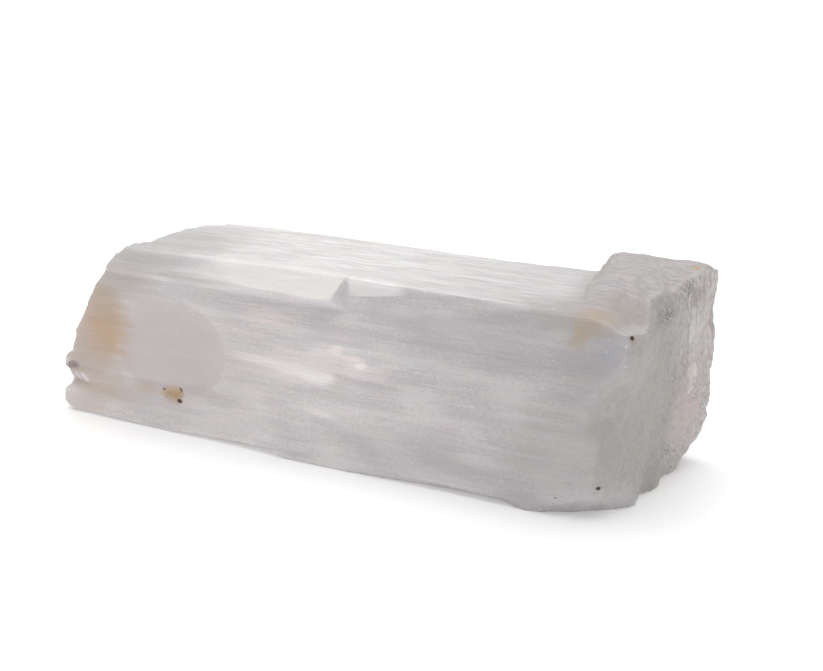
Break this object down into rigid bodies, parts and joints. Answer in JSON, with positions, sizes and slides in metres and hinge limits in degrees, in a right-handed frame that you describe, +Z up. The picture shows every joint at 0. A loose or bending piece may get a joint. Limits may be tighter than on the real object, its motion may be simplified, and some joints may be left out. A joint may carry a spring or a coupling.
{
  "type": "selenite log",
  "caption": "Rough log of fibrous selenite lying on its side: milky satin sides fluted along the fibres, splintery broken ends and a thicker block at one end.",
  "frame": {"origin": "on the ground under the middle of the log's bounding box", "axes": "+Z up, +X along the fibres towards the thick end with the raised block, -Y towards the broad smooth side"},
  "size_m": [0.1844, 0.0608, 0.0561],
  "materials": {
    "selenite": "satin"
  },
  "bodies": {
    "root": {"selenite_log": "selenite"}
  },
  "joints": []
}
